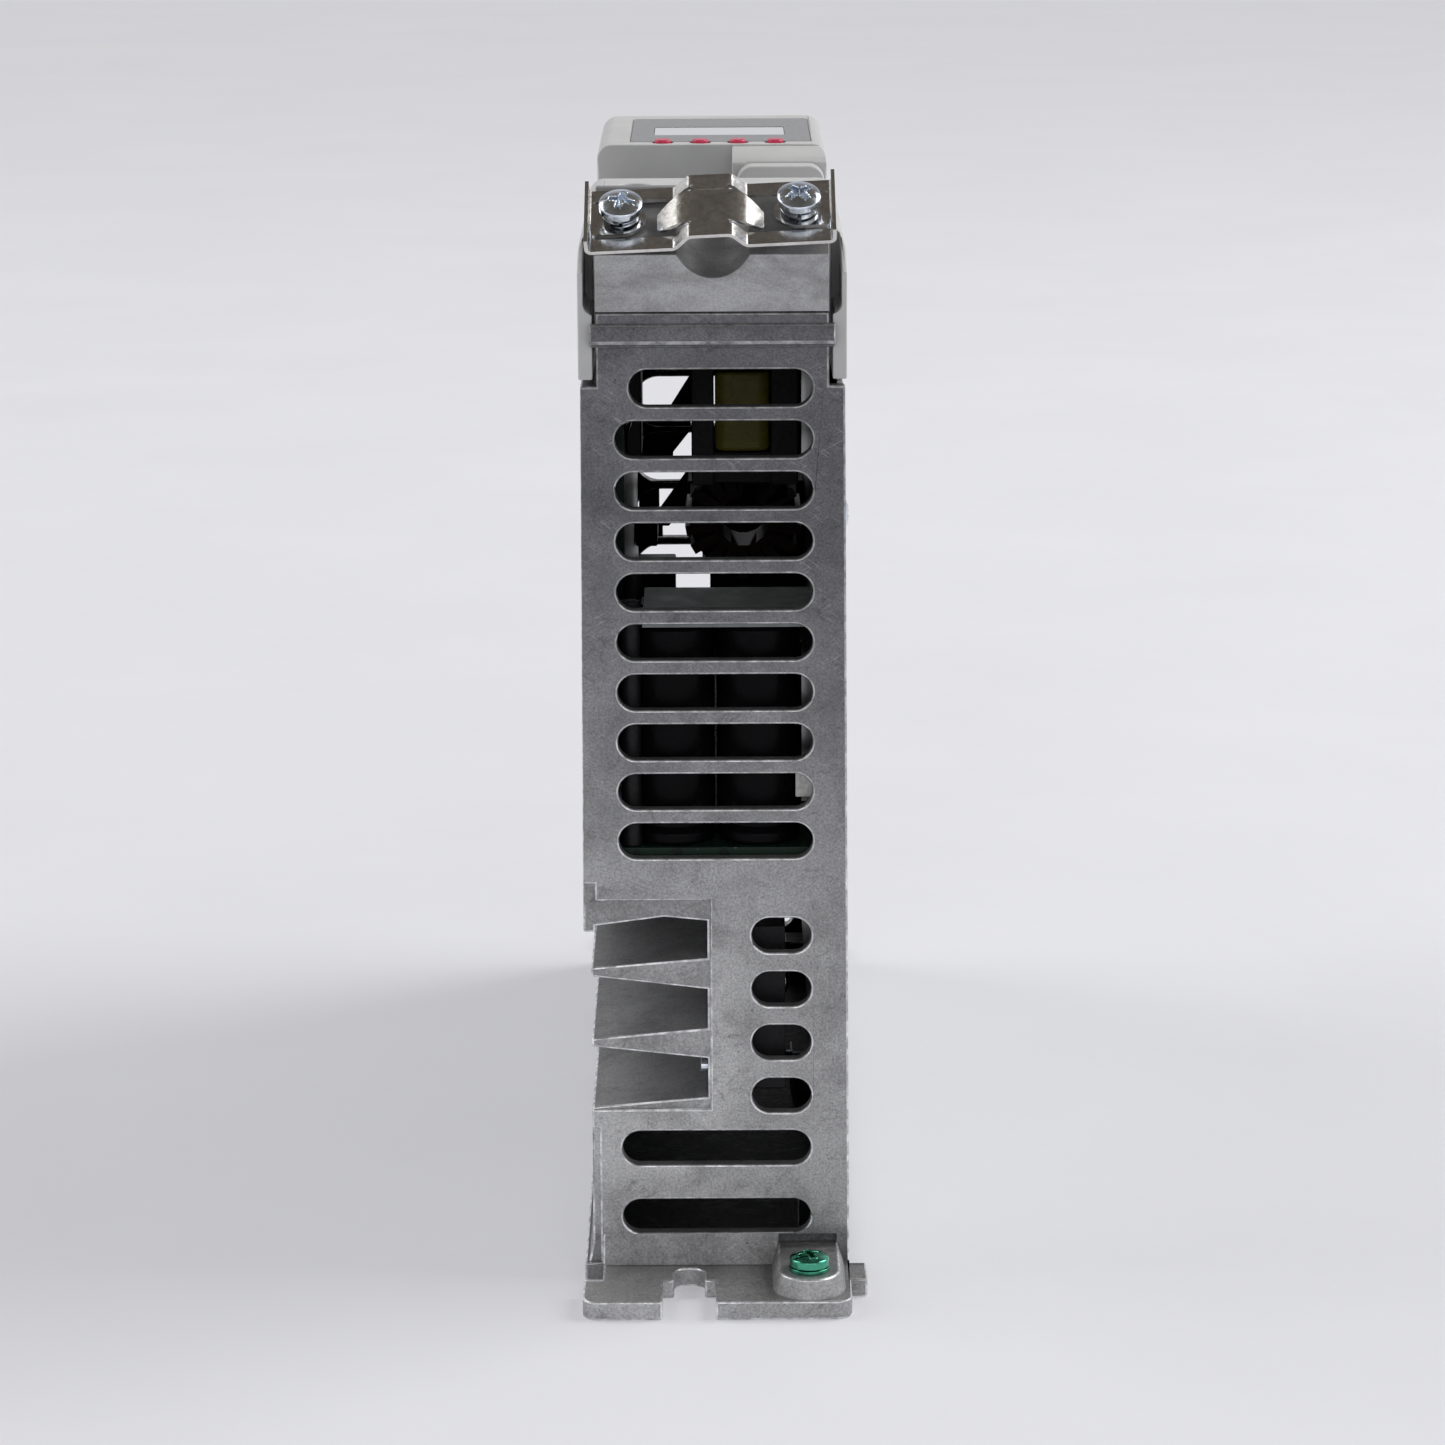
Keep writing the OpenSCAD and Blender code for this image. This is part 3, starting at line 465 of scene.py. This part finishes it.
def panel_film():
    """Printed film of the display panel."""
    s = Shader("panel_film")
    shade = s.noise(7, 3)
    s.link(s.mix(shade, (0.225, 0.225, 0.232), (0.26, 0.26, 0.268)), "Base Color")
    s.link(s.span(s.noise(1.4, 3), 0.3, 0.7, 0.30, 0.42), "Roughness")
    s.raise_by(s.noise(0.2, 2), 0.003)
    return s.done()


def window_clear():
    """Pale display window with a clear hard coat."""
    s = Shader("display_glass")
    haze = s.noise(5, 4)
    s.link(s.mix(haze, (0.70, 0.71, 0.71), (0.64, 0.655, 0.66)), "Base Color")
    s.set(Coat_Weight=0.6, Coat_Roughness=0.04)
    s.link(s.span(haze, 0.3, 0.7, 0.10, 0.2), "Roughness")
    s.raise_by(s.noise(9, 2), 0.004)
    return s.done()


def key_red():
    """Soft red keys."""
    s = Shader("key_red")
    shade = s.noise(1.5, 3)
    s.link(s.mix(shade, (0.52, 0.008, 0.055), (0.60, 0.02, 0.09)), "Base Color")
    s.set(Coat_Weight=0.25, Coat_Roughness=0.2)
    s.link(s.span(shade, 0.3, 0.7, 0.30, 0.4), "Roughness")
    s.raise_by(s.noise(0.22, 3), 0.006)
    return s.done()


def plated(name, light, dark, rough=(0.10, 0.24), grain=(1, 1, 1)):
    """Bright plated metal with a slightly uneven shine and fine handling marks."""
    s = Shader(name)
    cloud = s.span(s.noise(3.4, 4, 0.6, twist=0.5), 0.36, 0.70)
    colour = s.mix(cloud, light, dark)
    haze = s.span(s.noise(0.9, 4, 0.7), 0.52, 0.72)
    colour = s.mix(s.times(haze, 0.35), colour, tuple(c * 0.55 for c in dark))
    mark = scratches(s, 0.06, 2.4, 0.4, 0.10, True)
    colour = s.mix(s.times(mark, 0.35), colour, tuple(c * 0.6 for c in dark))
    s.link(colour, "Base Color")
    s.set(Metallic=1.0)
    s.link(s.span(s.noise(0.8, 4, 0.6, s.stretch(grain)), 0.32, 0.68, *rough), "Roughness")
    s.raise_by(s.noise(0.6, 3, 0.6, s.stretch(grain)), 0.004)
    s.raise_by(s.noise(4.0, 2), 0.02)
    return s.done()


MASK_GREEN = (0.004, 0.011, 0.007)


def laminate():
    """Circuit board: solder mask over copper tracks, with pads."""
    s = Shader("solder_mask")
    tracks = s.span(s.cells(3.2, s.stretch((1, 0.35, 0.8))), 0.30, 0.33)
    tint = s.mix(tracks, MASK_GREEN, tuple(c * 1.9 for c in MASK_GREEN))
    pads = s.span(s.cells(2.4), 0.10, 0.13, 1.0, 0.0)
    tint = s.mix(s.times(pads, 0.5), tint, (0.20, 0.20, 0.19))
    s.link(tint, "Base Color")
    s.set(Roughness=0.4, Specular_IOR_Level=0.25)
    s.raise_by(tracks, 0.03)
    return s.done()


def sleeve_black():
    """Shrink sleeve of a capacitor, with faint ripples."""
    s = Shader("capacitor_sleeve")
    shade = s.noise(6, 3)
    s.link(s.mix(shade, (0.0015, 0.0015, 0.002), (0.004, 0.004, 0.005)), "Base Color")
    s.set(Specular_IOR_Level=0.06)
    s.link(s.span(s.noise(2.2, 4), 0.3, 0.7, 0.22, 0.38), "Roughness")
    s.raise_by(s.noise(3.0, 3, 0.5, s.stretch((1, 1, 0.25))), 0.03)
    return s.done()


def tape_yellow():
    """Polyester tape wound in layers round a coil, with painted shade above 136 mm."""
    s = Shader("winding_tape")
    layer = s.span(s.noise(2.2, 3, 0.6, s.stretch((0.25, 0.25, 1.6)), twist=1.0), 0.35, 0.68)
    tint = s.mix(layer, (0.96, 0.86, 0.14), (0.78, 0.68, 0.11))
    glue = s.span(s.noise(4.5, 4, twist=1.4), 0.52, 0.72)
    tint = s.mix(s.times(glue, 0.6), tint, (0.62, 0.36, 0.015))
    # Painted shade: the tape is darkened to a tenth above 136 mm.
    top_shade = s.span(s.axis("Z"), 0.129, 0.136, 1.0, 0.10)
    s.link(s.tinted(tint, top_shade), "Base Color")
    s.set(Specular_IOR_Level=0.15)
    s.link(s.span(layer, 0, 1, 0.25, 0.42), "Roughness")
    s.raise_by(layer, 0.06)
    return s.done()


def dull(name, colour, rough=0.6, size=1.6, depth=0.02, shine=0.5):
    """Plain inner part with its own grain: ferrite, rubber, moulded sockets, enamel."""
    s = Shader(name)
    shade = s.span(s.noise(size, 4, 0.6), 0.32, 0.70)
    s.link(s.mix(shade, colour, tuple(c * 1.55 + 0.003 for c in colour)), "Base Color")
    s.set(Specular_IOR_Level=shine)
    s.link(s.span(s.noise(size * 0.6, 3), 0.3, 0.7, rough - 0.1, rough + 0.08), "Roughness")
    s.raise_by(s.noise(size * 0.3, 3), depth)
    return s.done()


MATERIALS = {
    "cast_aluminium": cast_aluminium(),
    "bracket_aluminium": blasted_aluminium(),
    "cover_sheet": sheet_aluminium(),
    "hood_plastic": moulded_plastic(),
    "panel_film": panel_film(),
    "window_clear": window_clear(),
    "key_red": key_red(),
    "nickel_sheet": plated("bright_nickel", (0.74, 0.725, 0.70), (0.54, 0.525, 0.505),
                           (0.12, 0.24), (1, 0.2, 1)),
    "zinc_screw": plated("bright_zinc", (0.72, 0.77, 0.84), (0.52, 0.58, 0.66)),
    "green_zinc": plated("green_zinc", (0.10, 0.44, 0.29), (0.05, 0.27, 0.18), (0.10, 0.2)),
    "board_laminate": laminate(),
    "capacitor_sleeve": sleeve_black(),
    "deck_sheet": dull("deck_sheet", (0.150, 0.165, 0.160), 0.45, 5.0, depth=0.01),
    "winding_tape": tape_yellow(),
    "ferrite": dull("ferrite", (0.006, 0.006, 0.007), 0.6, 0.8, shine=0.15),
    "copper_enamel": dull("copper_enamel", (0.030, 0.012, 0.006), 0.4, 1.0, shine=0.3),
    "black_plastic": dull("black_plastic", (0.005, 0.005, 0.006), 0.45, 0.9, depth=0.01, shine=0.2),
    "grey_plastic": dull("grey_plastic", (0.060, 0.064, 0.064), 0.45, 0.9, depth=0.01),
    "white_plastic": dull("white_plastic", (0.40, 0.40, 0.38), 0.4, 0.9, depth=0.01),
    "ribbon_black": dull("ribbon_black", (0.008, 0.008, 0.009), 0.55, 2.0, shine=0.2),
    "thermal_pad": dull("thermal_pad", (0.10, 0.105, 0.115), 0.8, 0.7, shine=0.2),
}
RUBBED = rubbed_edge()


# ---------------------------------------------------------------- mesh helpers

NICHE_HALF_WIDTH, NICHE_Z, NICHE_Y = 6.6, (-0.3, 3), (9, 12)
EDGE_ANGLE = 28
WELD, FLAT_ANGLE = 3e-6, 0.05


def in_ground_niche(edge):
    """True for the crowded edges of the niche behind the ground screw."""
    middle = (edge.verts[0].co + edge.verts[1].co) / 2
    low, high = GROUND
    beside = abs(middle.x - (low.x + high.x) / 2) < NICHE_HALF_WIDTH * MM
    level = NICHE_Z[0] * MM < middle.z - low.z < NICHE_Z[1] * MM
    behind = NICHE_Y[0] * MM < middle.y - high.y < NICHE_Y[1] * MM
    return beside and level and behind


def clean_copy(node):
    """Welded copy of a CAD node's mesh with flat faces joined and outer edges marked."""
    mesh = NODES[node].data.copy()
    mesh.materials.clear()
    if "custom_normal" in mesh.attributes:
        mesh.attributes.remove(mesh.attributes["custom_normal"])
    bm = bmesh.new()
    bm.from_mesh(mesh)
    for layer in list(bm.loops.layers.uv.values()):
        bm.loops.layers.uv.remove(layer)
    bmesh.ops.remove_doubles(bm, verts=bm.verts, dist=WELD)
    bmesh.ops.dissolve_limit(bm, angle_limit=math.radians(FLAT_ANGLE), verts=bm.verts,
                             edges=bm.edges)
    mark = bm.edges.layers.float.new("bevel_weight_edge")
    least = math.radians(EDGE_ANGLE)
    for edge in bm.edges:
        sharp = len(edge.link_faces) == 2 and edge.is_convex and edge.calc_face_angle(0) > least
        if sharp and not (node == "chassis_casting" and in_ground_niche(edge)):
            edge[mark] = 1.0
    bm.to_mesh(mesh)
    bm.free()
    return mesh


def add_piece(mesh, name, body, materials, stands_for=()):
    """Shows a mesh as a piece that rides on a body and may stand for CAD nodes."""
    piece = bpy.data.objects.new(name, mesh)
    bpy.context.scene.collection.objects.link(piece)
    mesh.materials.clear()
    for material in materials:
        mesh.materials.append(material)
    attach(piece, body)
    if stands_for:
        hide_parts(*stands_for)
    return piece


def soften(node, width_mm, segments, edge=None):
    """Shows a CAD node with its outer sharp edges rounded, in a second material if given."""
    mesh = clean_copy(node)
    mesh.shade_smooth()
    mesh.set_sharp_from_angle(angle=math.radians(EDGE_ANGLE))
    slot = SLOT_OF[node]
    materials = [MATERIALS[slot]] + ([edge] if edge else [])
    piece = add_piece(mesh, node + "_body", BODY_OF[node], materials, (node,))
    bevel = piece.modifiers.new("round", "BEVEL")
    bevel.width = width_mm * MM
    bevel.segments = segments
    bevel.limit_method = "WEIGHT"
    bevel.use_clamp_overlap = False
    bevel.harden_normals = True
    bevel.miter_outer = "MITER_SHARP"
    if edge:
        bevel.material = 1


def round_thin(piece, width_mm):
    """Rounds the sharp edges of a thin hand-made piece."""
    rounded = piece.modifiers.new("round", "BEVEL")
    rounded.width, rounded.segments = width_mm * MM, 2
    rounded.limit_method, rounded.angle_limit = "ANGLE", math.radians(50)
    rounded.harden_normals = True


def mesh_from(bm, name):
    """Mesh made of a bmesh, which is then freed."""
    mesh = bpy.data.meshes.new(name)
    bm.to_mesh(mesh)
    bm.free()
    return mesh


# ---------------------------------------------------------------- clamp sheet

STRIP_NEAR, STRIP_FAR, BAND = (0.0, 3.4), (14.5, 17.8), (4.4, 13.3)
CORE, BAND_HALF, FLAT_END = 3.9, 9.7, 22.0
SCREW_S, TAB_R, HOLE_R = 9.4, 4.6, 2.6
LEAN, LIFT, SIDE, SHEET = math.radians(3.2), 1.33, -0.2, 0.7


CLAMP_SCREWS = [Vector(JOINTS[name]["pos_m"])
                for name in ("clamp_screw_left_turn", "clamp_screw_right_turn")]
OFF_BED = Vector(JOINTS["clamp_lift"]["axis"]).normalized()


def clamp_place():
    """Gives a function from clamp coordinates (across, up the slope, off the bed) in mm."""
    left, right = CLAMP_SCREWS
    off = OFF_BED
    across = (right - left).normalized()
    slope = off.cross(across)
    middle = (left + right) / 2
    start = middle - slope * SCREW_S * MM + across * (SIDE * MM - middle.x) + off * LIFT * MM
    tilted = across * math.cos(LEAN) + off * math.sin(LEAN)
    normal = off * math.cos(LEAN) - across * math.sin(LEAN)
    return lambda x, s, n: start + (tilted * x + slope * s + normal * (n + SHEET / 2)) * MM


def strip_rise(x):
    """Height of a strip: flat outside, with a smooth arch over the cable."""
    t = min(max((7.2 - abs(x)) / 3.8, 0.0), 1.0)
    return 2.7 * t * t * (3 - 2 * t)


def band_rise(x):
    """Height of the band between the strips, which curls down round the cable."""
    t = max(abs(x) - 2.4, 0.0) / (BAND_HALF - 2.4)
    return 2.72 - (2.5 if x < 0 else 3.0) * t ** 1.9


def rise_at(x, s):
    """Height of the sheet at one place across and up the slope."""
    return band_rise(x) if BAND[0] - 0.01 < s < BAND[1] + 0.01 else strip_rise(x)


def steps(a, b, count):
    """Even steps from a to b, both included."""
    return [a + (b - a) * k / count for k in range(count + 1)]


def slit_rows(a, b):
    """Rows between two strips, close together at the round end of the slit."""
    middle, half = (a + b) / 2, (b - a) / 2
    return [middle - half * math.cos(math.pi * k / 10) for k in range(11)]


def core_half(s):
    """Half width of the web between the slits' round ends."""
    for a, b in ((STRIP_NEAR[1], BAND[0]), (BAND[1], STRIP_FAR[0])):
        if a < s < b:
            half = (b - a) / 2
            return CORE - math.sqrt(max(half ** 2 - (s - (a + b) / 2) ** 2, 0.0))
    return CORE


def band_half(s):
    """Half width of the band: one rounded corner, then a slope up to the far slit."""
    inset = max(1.2 - (s - BAND[0]), 0.0)
    taper = min(max((s - 9.4) / (BAND[1] - 9.4), 0.0), 1.0)
    return BAND_HALF - 1.2 + math.sqrt(max(1.44 - inset ** 2, 0.0)) - 4.2 * taper ** 1.15


def add_grid(bm, rows):
    """Faces between rows of points."""
    lines = [[bm.verts.new(point) for point in row] for row in rows]
    for a, b in zip(lines, lines[1:]):
        for k in range(len(a) - 1):
            bm.faces.new((a[k], a[k + 1], b[k + 1], b[k]))


def add_tab(bm, place, side, seam):
    """Tab round one screw: a ring of faces from the hole to the tab's outline."""
    cx = side * 16.5 - 0.15
    end = side * FLAT_END
    arc = [math.pi / 2 + math.pi * k / 20 for k in range(21)]
    outer = [(cx + side * TAB_R * math.cos(a), SCREW_S + TAB_R * math.sin(a)) for a in arc]
    outer += [(x, SCREW_S - TAB_R) for x in steps(cx, end, 4)[1:]]
    outer += [(end, s) for s in seam[1:]]
    outer += [(x, SCREW_S + TAB_R) for x in steps(end, cx, 4)[1:-1]]
    rings = []
    for share in (0.0, 0.5, 1.0):
        ring = []
        for x, s in outer:
            reach = math.hypot(x - cx, s - SCREW_S)
            k = HOLE_R / reach * (1 - share) + share
            ring.append(place(cx + (x - cx) * k, SCREW_S + (s - SCREW_S) * k, 0))
        rings.append(ring + ring[:1])
    add_grid(bm, rings)


def add_lip(bm, place, side, rows):
    """Lip turned up along one end of the sheet."""
    profile = [(FLAT_END + 0.95 * math.sin(a), 0.95 - 0.95 * math.cos(a))
               for a in steps(0, math.pi / 2, 6)]
    profile += [(FLAT_END + 0.95, n) for n in (1.6, 2.84)]
    add_grid(bm, [[place(side * x, s, n) for x, n in profile] for s in rows])


def clamp_sheet():
    """Nickel-plated clamp bent from one sheet: two arched strips, band, tabs and lips."""
    place = clamp_place()
    bm = bmesh.new()
    near, far = steps(*STRIP_NEAR, 4), steps(*STRIP_FAR, 4)
    band = [BAND[0] + (BAND[1] - BAND[0]) * (1 - math.cos(math.pi * k / 24)) / 2 for k in range(25)]
    seam = steps(SCREW_S - TAB_R, SCREW_S + TAB_R, 8)
    rows = near + slit_rows(STRIP_NEAR[1], BAND[0])[1:-1] + band
    rows += slit_rows(BAND[1], STRIP_FAR[0])[1:-1] + far
    core = steps(-1, 1, 16)
    add_grid(bm, [[place(k * core_half(s), s, rise_at(k * core_half(s), s)) for k in core]
                  for s in rows])
    wing = steps(CORE, 8, 16) + [11, 14.5, 18, FLAT_END]
    for side in (-1, 1):
        for strip in (near, far):
            add_grid(bm, [[place(side * x, s, strip_rise(x)) for x in wing] for s in strip])
        add_grid(bm, [[place(side * x, s, band_rise(side * x))
                       for x in steps(CORE, band_half(s), 16)] for s in band])
        add_tab(bm, place, side, seam)
        add_lip(bm, place, side, near + seam + far)
    bmesh.ops.remove_doubles(bm, verts=bm.verts, dist=2e-6)
    bmesh.ops.recalc_face_normals(bm, faces=bm.faces)
    mesh = mesh_from(bm, "clamp_sheet")
    mesh.shade_smooth()
    piece = add_piece(mesh, "shield_clamp_sheet", BODY_OF["shield_clamp"],
                      [MATERIALS["nickel_sheet"]], ("shield_clamp",))
    thick = piece.modifiers.new("sheet", "SOLIDIFY")
    thick.thickness, thick.offset = SHEET * MM, 0.0
    round_thin(piece, 0.14)


WASHER_RISE, WASHER_HEIGHT, WASHER_TWIST = (1.58, 3.23), 1.65, 0.6
WASHER_INNER, WASHER_OUTER = 2.2, 3.55
RING_START, RING_SWEEP, RING_STEPS = -84, 348, 48


def spring_washers():
    """Split, twisted spring ring under each clamp screw's head."""
    across = Vector((1, 0, 0))
    slope = OFF_BED.cross(across)
    top = WASHER_HEIGHT - WASHER_TWIST
    section = [(WASHER_INNER, 0), (WASHER_OUTER, 0), (WASHER_OUTER, top), (WASHER_INNER, top)]
    bm = bmesh.new()
    for start, rise in zip(CLAMP_SCREWS, WASHER_RISE):
        rings = []
        for k in range(RING_STEPS + 1):
            angle = math.radians(RING_START + RING_SWEEP * k / RING_STEPS)
            base = rise + WASHER_TWIST * k / RING_STEPS
            ray = across * math.cos(angle) + slope * math.sin(angle)
            rings.append([bm.verts.new(start + (ray * r + OFF_BED * (base + h)) * MM)
                          for r, h in section])
        for a, b in zip(rings, rings[1:]):
            for k in range(4):
                bm.faces.new((a[k], a[(k + 1) % 4], b[(k + 1) % 4], b[k]))
        bm.faces.new(rings[0][::-1])
        bm.faces.new(rings[-1])
    bmesh.ops.recalc_face_normals(bm, faces=bm.faces)
    mesh = mesh_from(bm, "spring_rings")
    mesh.shade_smooth()
    piece = add_piece(mesh, "clamp_washers_rings", BODY_OF["clamp_washers"],
                      [MATERIALS["zinc_screw"]], ("clamp_washers",))
    round_thin(piece, 0.18)


# ---------------------------------------------------------------- insulating film

FILM_AT, FILM_THICK, FILM_ROUND = 104.7, 0.3, 0.08
FILM_SHAPES = (
    ((-17.5, 121), (-9.4, 121), (-9.4, 125), (-5.2, 130.3), (-5.2, 134.5), (-17.5, 134.5)),
    ((-10.6, 135), (-4.6, 135), (-4.6, 144.5)),
    ((-17.5, 109), (-12.7, 109), (-12.7, 117.2), (-5.8, 117.2), (-5.8, 118.2), (-17.5, 118.2)),
)


def rear_film():
    """Black insulating film behind the far windows, cut round the wiring."""
    bm = bmesh.new()
    for outline in FILM_SHAPES:
        bm.faces.new([bm.verts.new(Vector((x, FILM_AT, z)) * MM) for x, z in outline])
    piece = add_piece(mesh_from(bm, "rear_film"), "rear_film", "housing",
                      [MATERIALS["ribbon_black"]])
    thick = piece.modifiers.new("sheet", "SOLIDIFY")
    thick.thickness, thick.offset = FILM_THICK * MM, 0.0
    rounded = piece.modifiers.new("round", "BEVEL")
    rounded.width, rounded.segments = FILM_ROUND * MM, 2


# ---------------------------------------------------------------- pieces

CASTING_EDGE = 0.4
SOFT_EDGES = {
    "side_cover": 0.15, "cover_screws": 0.18, "hood_screws": 0.18, "front_hood": 0.35,
    "display_panel": 0.05, "display_window": 0.12, "key_1": 0.45, "key_2": 0.45, "key_3": 0.45,
    "key_4": 0.45, "shield_bracket": 0.25, "clamp_screw_left": 0.3,
    "clamp_screw_right": 0.3, "ground_screw": 0.3, "ground_washer": 0.15,
    "bus_capacitors": 0.3, "insulating_deck": 0.1, "deck_pillars": 0.3, "transformer_core": 0.4,
    "transformer_winding": 0.8, "filter_choke": 0.8, "choke_winding": 0.04, "precharge_relay": 0.4,
    "film_capacitors": 0.4, "power_module": 0.4, "sense_connector": 0.12, "power_socket": 0.2,
    "power_plug": 0.35, "power_plug_screws": 0.1, "control_socket": 0.15, "control_plug": 0.2,
    "network_jacks": 0.2, "encoder_socket": 0.2, "parameter_module": 0.5, "module_header": 0.15,
    "mains_socket": 0.2, "mains_plug": 0.3, "mains_plug_screws": 0.1, "bracket_screws": 0.15,
    "module_screws": 0.15, "board_screws": 0.12, "ribbon_cable": 0.12, "power_board": 0.1,
    "control_board": 0.1, "capacitor_board": 0.1, "board_spacers": 0.2, "display_module": 0.2,
    "keypad_board": 0.1, "heat_pad": 0.1,
}

make_camera()
make_world()
make_stage()
for light_row in LIGHTS:
    area_light(*light_row)

clamp_sheet()
spring_washers()
rear_film()
soften("chassis_casting", CASTING_EDGE, 3, RUBBED)
for node_name, edge_mm in SOFT_EDGES.items():
    soften(node_name, edge_mm, 2)

bpy.context.scene.view_settings.view_transform = "Standard"
bpy.context.scene.view_settings.look = "None"
